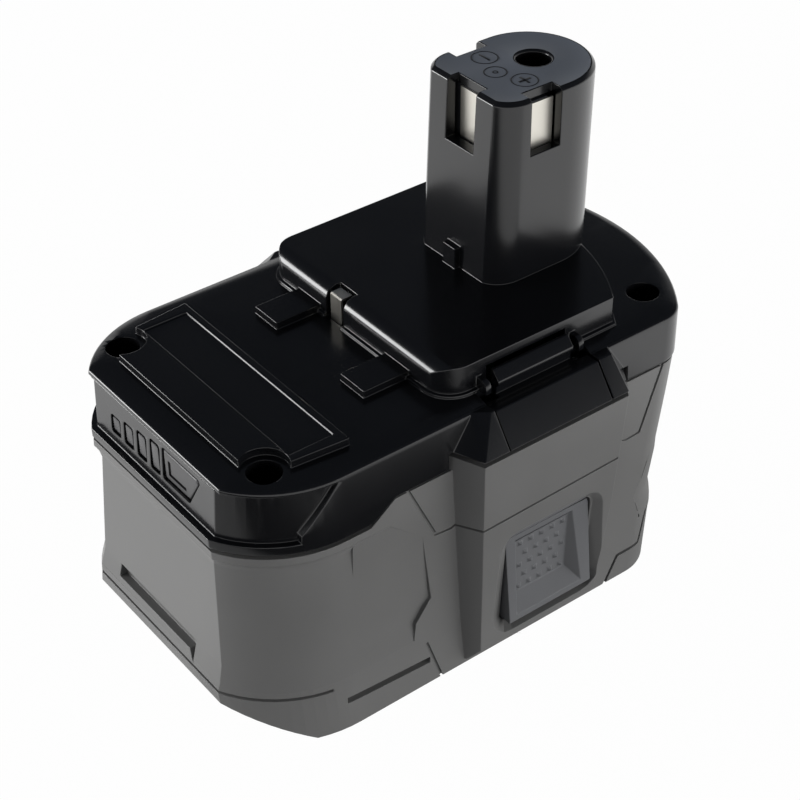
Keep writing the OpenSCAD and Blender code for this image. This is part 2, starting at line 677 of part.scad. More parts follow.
// One latch: panel with its arm, grip button, hook bar and the plate that the spring pushes on.
module right_latch() translate([0, latch_y, 0]) {
    along_y(panel_l) polygon([[hook_x + hook_foot, ledge_z], [hook_x + hook_foot, ledge_z - hook_t],
        [arm_in - 1.8, ledge_z - hook_t], [arm_in, ledge_z - 4.6], [arm_in, bulge_z - 6],
        [arm_out, bulge_z - 6],
        [arm_out, bulge_z - bulge_rim + slide_gap], [bulge_x - 0.6, bulge_z - 0.5], [bulge_x, bulge_z],
        [shoulder_x, ledge_z]]);
    translate([arm_in, -panel_l / 2, grip_z + grip_h - 1])
        cube([arm_out - arm_in, panel_l, bulge_z - grip_z - grip_h]);
    difference() {
        intersection() {
            along_y(far) polygon([
                [grip_back, grip_z], [bulge_x - grip_cut, grip_z], [bulge_x, grip_z + grip_edge],
                [grip_x, grip_z + grip_h - grip_edge], [grip_x - grip_cut, grip_z + grip_h],
                [grip_back, grip_z + grip_h]]);
            along_x(far) grip_outline(0);
        }
        grip_pocket();
    }
    grip_bumps();
    along_y(hook_l) polygon([[hook_x, ledge_z - hook_t], [hook_x + hook_foot + 0.1, ledge_z - hook_t],
        [hook_x + hook_foot + 0.1, ledge_z], [hook_x + hook_t, ledge_z], [hook_x + hook_t, cover_z + 1.4],
        [hook_x + 2.5, cover_z + 2], [hook_x + 2.5, cover_z + 2.9], [hook_x + 0.8, cover_z + hook_h],
        [hook_x, cover_z + hook_h]]);
    translate([spring_x1, -4.5, frame_top + 0.5]) cube([1.6, 9, ledge_z - frame_top - 1]);
    translate([spring_x1 - spring_pin_l + e, 0, spring_z]) rotate([0, 90, 0])
        cylinder(d = spring_pin_d, h = spring_pin_l);
}

// Pocket in the button's face, whose floor runs inward toward the foot.
module grip_pocket() intersection() {
    translate([0, 0, grip_z]) along_y(far) polygon([[far, 2], [bulge_x - 0.1, 2], [pocket_x, pocket_foot],
        [pocket_top_x, grip_h - 3.4], [grip_x + 0.1, grip_h - 2.4], [far, grip_h - 2.4]]);
    translate([0, grip_y, 0]) linear_extrude(far) polygon([[far, -grip_w / 2 + 2], [bulge_x, -grip_w / 2 + 2],
        [pocket_x, -grip_w / 2 + 3], [pocket_x, grip_w / 2 - 5.2], [bulge_x, grip_w / 2 - 2.6],
        [far, grip_w / 2 - 2.6]]);
}

// Staggered rows of small pyramids in the pocket of the grip button.
module grip_bumps() for (r = [0:4]) for (c = [0:4 - (r % 2)]) let (
    z = pocket_foot + 1.1 + r * bump_pitch[1],
    x = pocket_x + (pocket_top_x - pocket_x) * (z - pocket_foot) / (grip_h - 3.4 - pocket_foot))
        translate([x - 0.15, grip_y + (c - 2.3 + (r % 2) / 2) * bump_pitch[0], grip_z + z]) rotate([45, 0, 0])
            rotate([0, 90, 0]) cylinder(d1 = bump[0], d2 = bump[1], h = bump[2], $fn = 4);

module latch_right() color("#232427") place() right_latch();
module latch_left() color("#232427") place() mirror([1, 0, 0]) right_latch();

// Coil spring along X as one tube, with its own least gap measured and printed.
module right_spring() {
    steps = 12;
    sides = 6;
    n = floor(spring_turns * steps);
    r = (spring_d - spring_wire) / 2;
    run = spring_x1 - spring_x0 - spring_wire - 0.1;
    mid = [for (i = [0:n]) let (a = i * 360 / steps)
        [spring_x0 + spring_wire / 2 + 0.05 + run * i / n, r * cos(a), r * sin(a)]];
    echo(spring_gap = run / spring_turns - spring_wire);
    pts = [for (i = [0:n]) let (a = i * 360 / steps) for (k = [0:sides - 1]) let (b = k * 360 / sides)
        mid[i] + spring_wire / 2 * [sin(b), cos(b) * cos(a), cos(b) * sin(a)]];
    faces = concat(
        [[for (k = [0:sides - 1]) k]],
        [for (i = [0:n - 1]) for (k = [0:sides - 1])
            [i * sides + k, (i + 1) * sides + k, (i + 1) * sides + (k + 1) % sides]],
        [for (i = [0:n - 1]) for (k = [0:sides - 1])
            [i * sides + k, (i + 1) * sides + (k + 1) % sides, i * sides + (k + 1) % sides]],
        [[for (k = [sides - 1:-1:0]) n * sides + k]]);
    translate([0, latch_y, spring_z]) polyhedron(pts, faces);
}

module latch_spring_right() color("#c9ccd1") place() right_spring();
module latch_spring_left() color("#c9ccd1") place() mirror([1, 0, 0]) right_spring();

module gauge_button() color("#2b2c2f") place() {
    translate([0, (band_y + wall_in_y - 0.1) / 2, 0]) along_y(wall_in_y - band_y + 0.5) button_shape(-0.25);
    intersection() {
        translate([0, wall_in_y + 0.55, 0]) along_y(0.9) button_shape(0.6);
        translate([-far / 2, -far, 0]) cube([far, 2 * far, roof_z - slide_gap]);
    }
}

module gauge_lens() color("#7d7f80") place() {
    translate([0, (band_y + wall_in_y + 0.45) / 2, 0]) along_y(wall_in_y - band_y - 0.25) gauge_shapes(-0.15);
    translate([gauge_x0 - 2.6, wall_in_y + 0.05, band_z0 - 0.2])
        cube([button_x0 - gauge_x0 + 1.5, 1.2, band_z1 - band_z0]);
}

module gauge_board() color("#2f6b46") place()
    translate([-19, wall_in_y + 3.85, front_z + 1.4]) cube([38, 1.4, roof_z - front_z - 1.4]);

module gauge_leds() color("#d8d4c4") place() for (i = [0:3])
    translate([gauge_x0 + i * gauge_pitch - led[0] / 2, wall_in_y + 3.85 - led[1], band_z0 + 2]) cube(led);

module gauge_switch() color("#a9acb0") place() {
    translate([button_x0 + 2.6, wall_in_y + 3.85 - key[1], band_z0 + 1.8]) cube(key);
    translate([button_x0 + 5.1, wall_in_y + 2.4, band_z0 + 4.3]) rotate([90, 0, 0])
        cylinder(r = 1.2, h = 1.35 - button_travel);
}

module gauge_ribbon() color("#c98b3a") place()
    translate([-4, wall_in_y + 5.25, board_z]) cube([8, -1.5 * pitch + 4 - wall_in_y - 5.25, 0.2]);

module case_screws() color("#8f9297") place() for (s = [-1, 1]) for (p = screws)
    translate([s * p[0], p[1], p[2]]) {
        difference() {
            cylinder(d = well_d - 2 * head_gap, h = head_h);
            translate([0, 0, 1]) cylinder(d = 2.6, h = 2, $fn = 6);
        }
        translate([0, 0, -shank_l]) cylinder(r = shank_r, h = shank_l + 0.1);
    }

// Contact plate on one side of the stem, with the leg that stands on the board.
module side_terminal() {
    translate([plate_x - contact_t, window_y - side_window_w / 2 + 0.3, stem_z - window_h - 4])
        cube([contact_t, side_window_w - 0.6, window_h + 1.4]);
    translate([plate_x - contact_t, window_y - 2, board_z])
        cube([contact_t, 4, stem_z - window_h - 3.9 - board_z]);
}

module terminal_positive() color("#d8d2bf") place() side_terminal();
module terminal_negative() color("#d8d2bf") place() mirror([1, 0, 0]) side_terminal();

module terminal_thermistor() color("#d8d2bf") place() {
    translate([-3.6, plate_y, stem_z - window_h - 4]) cube([7.2, contact_t, window_h + 1.4]);
    translate([-1.6, plate_y, board_z]) cube([3.2, contact_t, stem_z - window_h - 3.9 - board_z]);
}

// Stamped strip that stands on the board and bends back over the platform's edge.
module terminal_data() color("#d8d2bf") place() translate([data_x + data_w / 2, data_y, 0]) along_x(data_w)
    polygon([[0, board_z], [data_t, board_z], [data_t, plat_z - data_sink - data_t],
        [data_bend, plat_z - data_sink - data_t], [data_bend, plat_z - data_sink], [0.3, plat_z - data_sink],
        [0, plat_z - data_sink - 0.3]]);

// Moulded block in the stem that the contact plates lie against.
module terminal_carrier() color("#35363a") place() {
    w = plate_x - contact_t;
    y0 = plate_y + contact_t;
    translate([0, 0, stem_z - window_h - 6]) linear_extrude(window_h + 6 - wall - 0.2)
        polygon([[-w + 3.1, y0], [w - 3.1, y0], [w, y0 + 3], [w, window_y + 2.4], [-w, window_y + 2.4],
            [-w, y0 + 3]]);
}

module main_board() color("#2f6b46") place()
    translate([-cell_l / 2 + frame_depth - 1.1, -1.5 * pitch, frame_top])
        cube([cell_l - 2 * frame_depth + 2.2, 3 * pitch, board_t]);

module board_mosfets() color("#1f2022") place() for (s = [-1, 1]) for (k = [0, 1])
    translate([s * fet_x - fet[0] / 2, -pitch + k * fet_pitch, board_z]) cube(fet);

module board_fuse() color("#b9a27a") place() translate([-fuse[0] / 2, -4, board_z]) cube(fuse);

// One round cell lying across the pack, with the crimp near its positive end.
module cell(i, plus) color(i % 2 == 0 ? "#3f6fa8" : "#4677ae") place()
    translate([0, rows[i][0] * pitch, cell_z + rows[i][1] * layer]) rotate([0, plus * 90, 0]) difference() {
        cylinder(d = cell_d, h = cell_l, center = true);
        translate([0, 0, cell_l / 2 - 5]) difference() {
            cylinder(d = cell_d + 2, h = 1.2);
            translate([0, 0, -1]) cylinder(d = cell_d - 1.2, h = 4);
        }
    }

module cell_01() cell(0, 1);
module cell_02() cell(1, -1);
module cell_03() cell(2, -1);
module cell_04() cell(3, -1);
module cell_05() cell(4, 1);
module cell_06() cell(5, 1);
module cell_07() cell(6, 1);
module cell_08() cell(7, -1);
module cell_09() cell(8, -1);
module cell_10() cell(9, -1);

// Outline in Y and Z round the cells, with circles of radius r.
module block_outline(r) {
    for (c = rows) translate([c[0] * pitch, cell_z + c[1] * layer]) circle(r);
    polygon([[-pitch, cell_z], [pitch, cell_z], [1.5 * pitch, cell_z + layer], [pitch, cell_z + 2 * layer],
        [-pitch, cell_z + 2 * layer], [-1.5 * pitch, cell_z + layer]]);
}

module right_frame() translate([cell_l / 2 - 0.3 - frame_depth / 2, 0, 0]) along_x(frame_depth) difference() {
    intersection() {
        union() {
            block_outline(cell_d / 2 + 0.95);
            translate([-pitch, cell_z + 2 * layer]) square([2 * pitch, frame_top - cell_z - 2 * layer]);
        }
        translate([-far / 2, floor_t]) square([far, far]);
    }
    for (c = rows) translate([c[0] * pitch, cell_z + c[1] * layer]) circle(cell_d / 2 + 0.02);
}

module cell_frame_right() color("#4b4d52") place() right_frame();
module cell_frame_left() color("#4b4d52") place() mirror([1, 0, 0]) right_frame();

// Nickel strip over the named cells, each joined to the one before it.
module strip(list) translate([cell_l / 2 + strip_t / 2, 0, 0]) along_x(strip_t) {
    for (i = list) translate([rows[i][0] * pitch, cell_z + rows[i][1] * layer]) circle(4);
    for (k = [1:len(list) - 1]) {
        a = [rows[list[k - 1]][0] * pitch, rows[list[k - 1]][1] * layer];
        b = [rows[list[k]][0] * pitch, rows[list[k]][1] * layer];
        translate([(a[0] + b[0]) / 2, cell_z + (a[1] + b[1]) / 2])
            rotate(atan2(b[1] - a[1], b[0] - a[0])) square([norm(b - a), 5], center = true);
    }
}

// Tab that runs from a strip's last cell up to the top of the frame.
module strip_tab(i) translate([cell_l / 2 + strip_t / 2, 0, 0]) along_x(strip_t)
    translate([rows[i][0] * pitch - 2, cell_z + 2 * layer]) square([4, frame_top + 0.5 - cell_z - 2 * layer]);

module strip_right_front() color("#cfd1d4") place() strip([7, 3, 4, 0]);
module strip_right_middle() color("#cfd1d4") place() strip([1, 2, 5, 6]);
module strip_right_rear() color("#cfd1d4") place() {
    strip([8, 9]);
    strip_tab(9);
}
module strip_left_front() color("#cfd1d4") place() mirror([1, 0, 0]) {
    strip([3, 7]);
    strip_tab(7);
}
module strip_left_middle() color("#cfd1d4") place() mirror([1, 0, 0]) strip([4, 0, 1, 2]);
module strip_left_rear() color("#cfd1d4") place() mirror([1, 0, 0]) strip([8, 9, 6, 5]);

module right_insulator() translate([cell_l / 2 + strip_t + 0.03 + insulator_t / 2, 0, 0])
    along_x(insulator_t) block_outline(5);
module insulator_right() color("#d9cfb4") place() right_insulator();
module insulator_left() color("#d9cfb4") place() mirror([1, 0, 0]) right_insulator();

// Flat lead on the frame from a strip's tab to the edge of the board.
module lead(i) translate([cell_l / 2 - frame_depth + 1.1, rows[i][0] * pitch - 2, frame_top])
    cube([frame_depth - 1.1, 4, 0.5]);
module lead_positive() color("#b23a32") place() lead(9);
module lead_negative() color("#303236") place() mirror([1, 0, 0]) lead(7);

module thermistor_bead() color("#3a2f26") place()
    translate([0, -pitch / 2, cell_z + 2 * layer
        + sqrt(pow(cell_d / 2 + bead_r + 0.05, 2) - pitch * pitch / 4)])
        sphere(r = bead_r);

module foam_pad() color("#5a5c60") place()
    translate([-cell_l / 2 + frame_depth + 1, -1.4 * pitch, floor_t])
        cube([cell_l - 2 * frame_depth - 2, 2.8 * pitch, pad_t]);

lower_case();
top_cover();
latch_left();
latch_right();
latch_spring_left();
latch_spring_right();
gauge_button();
gauge_lens();
gauge_board();
gauge_leds();
gauge_switch();
gauge_ribbon();
case_screws();
terminal_positive();
terminal_negative();
terminal_thermistor();
terminal_data();
terminal_carrier();
main_board();
board_mosfets();
board_fuse();
cell_01();
cell_02();
cell_03();
cell_04();
cell_05();
cell_06();
cell_07();
cell_08();
cell_09();
cell_10();
cell_frame_left();
cell_frame_right();
strip_right_front();
strip_right_middle();
strip_right_rear();
strip_left_front();
strip_left_middle();
strip_left_rear();
insulator_left();
insulator_right();
lead_positive();
lead_negative();
thermistor_bead();
foam_pad();
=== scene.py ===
# Stem-type battery pack for cordless power tools, dressed for a white studio sweep.
import math

import bpy
from mathutils import Euler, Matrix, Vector


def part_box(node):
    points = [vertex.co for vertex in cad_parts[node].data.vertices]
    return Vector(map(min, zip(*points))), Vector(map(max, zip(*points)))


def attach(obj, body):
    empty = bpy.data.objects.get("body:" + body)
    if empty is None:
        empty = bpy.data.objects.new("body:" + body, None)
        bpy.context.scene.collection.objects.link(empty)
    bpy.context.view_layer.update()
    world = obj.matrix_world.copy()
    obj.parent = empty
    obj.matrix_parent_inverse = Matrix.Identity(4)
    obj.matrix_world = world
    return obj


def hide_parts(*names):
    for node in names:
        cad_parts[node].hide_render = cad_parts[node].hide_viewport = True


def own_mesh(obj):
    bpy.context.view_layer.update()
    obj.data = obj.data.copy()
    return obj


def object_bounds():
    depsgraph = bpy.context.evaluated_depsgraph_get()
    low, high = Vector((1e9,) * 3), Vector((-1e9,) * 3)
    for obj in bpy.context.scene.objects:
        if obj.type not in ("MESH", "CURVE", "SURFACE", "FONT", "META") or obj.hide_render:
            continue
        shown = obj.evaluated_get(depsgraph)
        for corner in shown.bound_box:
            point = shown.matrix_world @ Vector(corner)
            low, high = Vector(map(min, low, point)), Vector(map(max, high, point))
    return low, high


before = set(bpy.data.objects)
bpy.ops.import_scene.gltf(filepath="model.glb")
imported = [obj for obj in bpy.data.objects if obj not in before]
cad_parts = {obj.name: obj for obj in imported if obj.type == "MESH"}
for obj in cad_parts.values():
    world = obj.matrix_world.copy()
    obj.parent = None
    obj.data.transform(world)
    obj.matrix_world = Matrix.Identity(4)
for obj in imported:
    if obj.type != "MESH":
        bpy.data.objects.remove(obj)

cad_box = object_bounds()

# Round cells
# Ten steel cans in shrink sleeves lie across the pack in rows of three, four and three.
# The sleeve is thin coloured film with a slight orange-peel surface.
CELL_COUNT = 10
CLOUD_SCALE = 60.0
CLOUD_DETAIL = 4.0
CLOUD_LOW = 0.3
CLOUD_HIGH = 0.7
SPECK_DETAIL = 2.0
BUMP_STRENGTH = 0.5
LEAST_ROUGH = 0.02


def finish(name, colour, rough, metal=0.0, mottle=0.06, grain=4000.0, relief=0.00002,
           spread=0.08, shine=0.5):
    """A material with colour and roughness from a broad noise, and surface grain from a fine one."""
    material = bpy.data.materials.new(name)
    material.use_nodes = True
    nodes = material.node_tree.nodes
    links = material.node_tree.links
    shader = nodes["Principled BSDF"]
    shader.inputs["Metallic"].default_value = metal
    shader.inputs["Specular IOR Level"].default_value = shine
    place = nodes.new("ShaderNodeTexCoord")
    cloud = nodes.new("ShaderNodeTexNoise")
    cloud.inputs["Scale"].default_value = CLOUD_SCALE
    cloud.inputs["Detail"].default_value = CLOUD_DETAIL
    links.new(place.outputs["Object"], cloud.inputs["Vector"])
    tint = nodes.new("ShaderNodeValToRGB")
    tint.color_ramp.elements[0].position = CLOUD_LOW
    tint.color_ramp.elements[1].position = CLOUD_HIGH
    tint.color_ramp.elements[0].color = (*[c * (1.0 - mottle) for c in colour], 1.0)
    tint.color_ramp.elements[1].color = (*[min(1.0, c * (1.0 + mottle)) for c in colour], 1.0)
    links.new(cloud.outputs["Fac"], tint.inputs["Fac"])
    links.new(tint.outputs["Color"], shader.inputs["Base Color"])
    gloss = nodes.new("ShaderNodeMapRange")
    gloss.inputs["To Min"].default_value = max(LEAST_ROUGH, rough - spread)
    gloss.inputs["To Max"].default_value = min(1.0, rough + spread)
    links.new(cloud.outputs["Fac"], gloss.inputs["Value"])
    links.new(gloss.outputs["Result"], shader.inputs["Roughness"])
    speck = nodes.new("ShaderNodeTexNoise")
    speck.inputs["Scale"].default_value = grain
    speck.inputs["Detail"].default_value = SPECK_DETAIL
    links.new(place.outputs["Object"], speck.inputs["Vector"])
    bump = nodes.new("ShaderNodeBump")
    bump.inputs["Strength"].default_value = BUMP_STRENGTH
    bump.inputs["Distance"].default_value = relief
    links.new(speck.outputs["Fac"], bump.inputs["Height"])
    links.new(bump.outputs["Normal"], shader.inputs["Normal"])
    return material


def paint(material, *nodes):
    """Gives CAD nodes a material in place of the plain one they came with."""
    for name in nodes:
        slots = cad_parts[name].data.materials
        slots.clear()
        slots.append(material)


sleeve = finish("cell_sleeve", (0.02, 0.055, 0.12), 0.35)
paint(sleeve, *["cell_%02d" % number for number in range(1, CELL_COUNT + 1)])

# Cell frames and foam
# Two moulded racks hold the ends of the cells, and a foam pad lies under the block.
# The racks are glass-filled plastic, the foam is closed-cell sheet.
rack = finish("rack_plastic", (0.07, 0.075, 0.085), 0.55, mottle=0.12)
paint(rack, "cell_frame_left", "cell_frame_right")
foam = finish("foam", (0.1, 0.105, 0.115), 0.95, mottle=0.25, grain=2500.0, relief=0.0001)
paint(foam, "foam_pad")

# Nickel strips, insulators and leads
# Pure nickel strip is spot-welded over the cell ends and covered by stuck-on fish paper.
# Two flat leads run from the end strips over the racks to the board.
nickel = finish("nickel", (0.62, 0.6, 0.55), 0.28, metal=1.0, mottle=0.08, grain=900.0)
paint(nickel, "strip_right_front", "strip_right_middle", "strip_right_rear",
      "strip_left_front", "strip_left_middle", "strip_left_rear")
fish_paper = finish("fish_paper", (0.68, 0.62, 0.45), 0.85, mottle=0.1, grain=1500.0, relief=0.00005)
paint(fish_paper, "insulator_left", "insulator_right")
paint(finish("red_lead", (0.45, 0.04, 0.03), 0.45), "lead_positive")
paint(finish("black_lead", (0.025, 0.026, 0.03), 0.45), "lead_negative")

# Boards
# The main board lies on the racks and the gauge board stands behind the front wall.
# Both are glass epoxy under green solder mask, with parts in black epoxy and tinned steel.
mask = finish("solder_mask", (0.02, 0.13, 0.06), 0.32, mottle=0.1)
paint(mask, "main_board", "gauge_board")
paint(finish("epoxy", (0.012, 0.012, 0.013), 0.5), "board_mosfets", "thermistor_bead")
paint(finish("fuse_body", (0.42, 0.34, 0.2), 0.5), "board_fuse")
paint(finish("lamp_lens", (0.7, 0.67, 0.58), 0.3), "gauge_leds")
paint(finish("tinned_steel", (0.5, 0.51, 0.52), 0.35, metal=1.0), "gauge_switch")
paint(finish("ribbon_film", (0.55, 0.25, 0.05), 0.3), "gauge_ribbon")

# Latch springs
# One coil of spring wire behind each latch pushes it out.
MERGE_GAP = 0.000005
COIL_SMOOTH = math.radians(50.0)


def node_copy(node, ending):
    """A copy of a CAD node with its loose triangles merged, named after the node."""
    bpy.ops.object.select_all(action="DESELECT")
    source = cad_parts[node]
    source.select_set(True)
    bpy.context.view_layer.objects.active = source
    bpy.ops.object.duplicate()
    piece = bpy.context.active_object
    piece.name = node + ending
    bpy.ops.object.mode_set(mode="EDIT")
    bpy.ops.mesh.select_all(action="SELECT")
    bpy.ops.mesh.remove_doubles(threshold=MERGE_GAP)
    bpy.ops.object.mode_set(mode="OBJECT")
    return piece


spring_wire = finish("spring_wire", (0.55, 0.56, 0.57), 0.25, metal=1.0, grain=1200.0)
for side, seat in (("left", 1), ("right", 0)):
    spring = "latch_spring_" + side
    coil = node_copy(spring, "_coil")
    bpy.ops.object.shade_smooth_by_angle(angle=COIL_SMOOTH)
    coil.data.materials.clear()
    coil.data.materials.append(spring_wire)
    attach(coil, "pack")
    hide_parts(spring)
    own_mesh(coil)

# Contacts
# Stamped strip with a bright nickel plating, brushed a little by use.
# The plates lie against a moulded carrier inside the stem.
plating = finish("contact_plating", (0.9, 0.87, 0.79), 0.38, metal=1.0, mottle=0.04, grain=1500.0,
                 relief=0.00001)
paint(plating, "terminal_positive", "terminal_negative", "terminal_thermistor", "terminal_data")
paint(finish("carrier_plastic", (0.03, 0.031, 0.035), 0.5), "terminal_carrier")

# Lower case
# A deep tub moulded in impact-resistant plastic, with a spark-eroded satin finish.
# Its edges are rounded as the mould tool leaves them.
CASE_EDGE = 0.00014
LEAST_EDGE = 0.00001
FLAT_ANGLE = math.radians(0.5)
EDGE_ANGLE = math.radians(28.0)
SMOOTH_ANGLE = math.radians(32.0)
ROUND_STEPS = 2


def moulding(node, body, radius, material):
    """A copy of a CAD node whose sharp edges are rounded by radius, riding where the node does."""
    piece = node_copy(node, "_moulding")
    bpy.ops.object.mode_set(mode="EDIT")
    bpy.ops.mesh.select_all(action="SELECT")
    bpy.ops.mesh.dissolve_degenerate(threshold=LEAST_EDGE)
    bpy.ops.mesh.dissolve_limited(angle_limit=FLAT_ANGLE)
    bpy.ops.mesh.quads_convert_to_tris(ngon_method="BEAUTY")
    bpy.ops.object.mode_set(mode="OBJECT")
    rounding = piece.modifiers.new("rounded_edges", "BEVEL")
    rounding.width = radius
    rounding.segments = ROUND_STEPS
    rounding.limit_method = "ANGLE"
    rounding.angle_limit = EDGE_ANGLE
    rounding.use_clamp_overlap = False
    rounding.loop_slide = False
    bpy.ops.object.modifier_apply(modifier="rounded_edges")
    bpy.ops.object.shade_smooth_by_angle(angle=SMOOTH_ANGLE)
    shading = piece.modifiers.new("even_shading", "WEIGHTED_NORMAL")
    shading.keep_sharp = True
    bpy.ops.object.modifier_apply(modifier="even_shading")
    piece.data.materials.clear()
    piece.data.materials.append(material)
    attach(piece, body)
    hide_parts(node)
    return piece


satin_black = finish("satin_black", (0.115, 0.1145, 0.1125), 0.45, mottle=0.04, grain=5000.0,
                     relief=0.00001, shine=0.8)
moulding("lower_case", "pack", CASE_EDGE, satin_black)

# Top cover
# A lid with the platform and the hollow stem in one moulding, polished in the mould.
# Four screws in deep wells hold it down on the case. The end of the stem is rougher, its upward
# faces carry a lighter bluish grey that is painted sheen, and it lies a hair lower than the CAD face,
# so that the raised marks stay inside the part's size.
COVER_EDGE = 0.00022
END_SKIN = 0.00005
END_LEVEL = 0.999
END_REACH = 0.00002
END_DROP = 0.00007


def pick(piece, wanted):
    """Selects the vertices of the active piece with the wanted numbers and leaves it in edit mode."""
    bpy.ops.object.mode_set(mode="EDIT")
    bpy.ops.mesh.select_all(action="DESELECT")
    bpy.ops.object.mode_set(mode="OBJECT")
    for number in wanted:
        piece.data.vertices[number].select = True
    bpy.ops.object.mode_set(mode="EDIT")


gloss_black = finish("gloss_black", (0.004, 0.0042, 0.005), 0.2, mottle=0.05, grain=3000.0,
                     relief=0.000003, spread=0.03, shine=0.85)
cover = moulding("top_cover", "pack", COVER_EDGE, gloss_black)
# The end of the stem is rougher, and its lighter bluish grey is painted sheen.
stem_end_painted_sheen = finish("stem_end_painted_sheen", (0.2, 0.222, 0.26), 0.5, mottle=0.05, grain=5000.0, relief=0.00001)
cover.data.materials.append(stem_end_painted_sheen)
stem_top = cad_box[1].z
# Only the upward faces at the top of the stem take the painted sheen.
for face in cover.data.polygons:
    if face.center.z > stem_top - END_SKIN and face.normal.z > END_LEVEL:
        face.material_index = 1
pick(cover, [corner.index for corner in cover.data.vertices if corner.co.z > stem_top - END_REACH])
bpy.ops.transform.translate(value=(0.0, 0.0, -END_DROP))
bpy.ops.object.mode_set(mode="OBJECT")
stem_top -= END_DROP

# Polarity marks
# Three thin rings on the end of the stem, round a minus, a dot and a plus.
# They are raised a hair above the plastic by the mould.
MARK_RISE = 0.00006
MARK_R = 0.0027
MARK_STROKE = 0.0003
MARK_X = 0.0062
MARK_SIDE_Y = 0.02845
MARK_DOT_Y = 0.0261
MARK_SMOOTH = math.radians(40.0)
DOT_RING_R = 0.85 * MARK_R
DOT_R = 0.18 * MARK_R
RING_STEPS = 48
RING_SIDES = 8
BAR_ROUND = 0.3
# Each bar's place across the stem, then its length and width as shares of a ring's radius
MARK_BARS = ((-MARK_X, 1.2, 0.16), (MARK_X, 1.1, 0.2), (MARK_X, 0.2, 1.1))


def raised_bar(centre, length, width, rise):
    """A low bar with rounded edges lying in the XY plane about centre, rise above and below it."""
    bpy.ops.object.select_all(action="DESELECT")
    bpy.ops.mesh.primitive_cube_add(size=1.0, location=centre, scale=(length, width, 2.0 * rise))
    bar = bpy.context.active_object
    bpy.ops.object.transform_apply(location=True, rotation=True, scale=True)
    rounding = bar.modifiers.new("rounded_edges", "BEVEL")
    rounding.width = BAR_ROUND * min(length, width, 2.0 * rise)
    rounding.segments = ROUND_STEPS
    bpy.ops.object.modifier_apply(modifier="rounded_edges")
    return bar


def mark_ring(x, y, radius):
    """A thin ring round a mark, half sunk into the end of the stem."""
    centre = (x, y, stem_top)
    bpy.ops.object.select_all(action="DESELECT")
    bpy.ops.mesh.primitive_torus_add(location=centre, major_radius=radius, minor_radius=MARK_STROKE / 2,
                                     major_segments=RING_STEPS, minor_segments=RING_SIDES)
    ring = bpy.context.active_object
    bpy.ops.transform.resize(value=(1.0, 1.0, 2.0 * MARK_RISE / MARK_STROKE), center_override=centre)
    bpy.ops.object.transform_apply(location=True, rotation=True, scale=True)
    return ring


def joined(name, marks):
    """One piece from several marks."""
    bpy.ops.object.select_all(action="DESELECT")
    for mark in marks:
        mark.select_set(True)
    bpy.context.view_layer.objects.active = marks[0]
    bpy.ops.object.join()
    piece = bpy.context.active_object
    piece.name = name
    return piece


stem_marks = [mark_ring(-MARK_X, MARK_SIDE_Y, MARK_R), mark_ring(MARK_X, MARK_SIDE_Y, MARK_R),
              mark_ring(0.0, MARK_DOT_Y, DOT_RING_R), mark_ring(0.0, MARK_DOT_Y, DOT_R)]
for x, long, wide in MARK_BARS:
    stem_marks.append(raised_bar((x, MARK_SIDE_Y, stem_top), long * MARK_R, wide * MARK_R, MARK_RISE))
polarity = joined("polarity_marks", stem_marks)
bpy.ops.object.shade_smooth_by_angle(angle=MARK_SMOOTH)
polarity.data.materials.append(finish("mark_black", (0.012, 0.013, 0.016), 0.4, grain=5000.0))
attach(polarity, "pack")

# Gauge
# Smoked bars in four windows show the charge, and a key beside them wakes the gauge.
# A dark gap runs round each bar and round the key, which has a bent level mark on it. The mark is an
# engraved groove, drawn as low raised strokes whose flat black is painted shade.
BARS_X = (-0.0141, -0.00915, -0.0042, 0.00075)
BARS_EDGE = 0.0002
BARS_FORWARD = 0.0007
BARS_INSET = 0.00035
KEY_X = 0.008
KEY_EDGE = 0.0003
KEY_INSET = 0.0003
FRONT_DEPTH = 0.0003
# Place across and up, width and height of the two strokes of the level mark
LEVEL_STROKES = ((0.0059, 0.0560, 0.0008, 0.0034), (0.0086, 0.0545, 0.0061, 0.0007))


def draw_in(piece, middles, forward, inset):
    """Moves the front of each bar of a piece forward and draws its outline in, so a dark gap shows."""
    front = min(corner.co.y for corner in piece.data.vertices)
    bars = [[] for middle in middles]
    for corner in piece.data.vertices:
        if corner.co.y < front + FRONT_DEPTH:
            near = min(range(len(middles)), key=lambda place: abs(middles[place] - corner.co.x))
            bars[near].append((corner.co.x, corner.co.z, corner.index))
    for bar in bars:
        left, right = min(spot[0] for spot in bar), max(spot[0] for spot in bar)
        low, high = min(spot[1] for spot in bar), max(spot[1] for spot in bar)
        narrow = 1.0 - 2.0 * inset / (right - left)
        short = 1.0 - 2.0 * inset / (high - low)
        middle = ((left + right) / 2, front, (low + high) / 2)
        pick(piece, [spot[2] for spot in bar])
        bpy.ops.transform.resize(value=(narrow, 1.0, short), center_override=middle)
        bpy.ops.transform.translate(value=(0.0, -forward, 0.0))
        bpy.ops.object.mode_set(mode="OBJECT")


smoked = finish("smoked_lens", (0.03, 0.03, 0.032), 0.25, grain=2000.0, relief=0.000005, shine=0.7)
gauge_bars = moulding("gauge_lens", "pack", BARS_EDGE, smoked)
draw_in(gauge_bars, BARS_X, BARS_FORWARD, BARS_INSET)
key_black = finish("key_black", (0.03, 0.03, 0.031), 0.32, relief=0.000005, shine=0.7)
key = moulding("gauge_button", "gauge_button_body", KEY_EDGE, key_black)
draw_in(key, (KEY_X,), 0.0, KEY_INSET)
key_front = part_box("gauge_button")[0].y
strokes = []
for x, z, wide, high in LEVEL_STROKES:
    strokes.append(raised_bar((x, key_front, z), wide, 2.0 * MARK_RISE, high / 2))
level_mark = joined("level_mark", strokes)
# The strokes' flat black is painted shade that stands in for the engraved groove.
level_mark.data.materials.append(finish("level_groove_painted_shade", (0.002, 0.002, 0.0022), 0.8, shine=0.05))
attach(level_mark, "gauge_button_body")

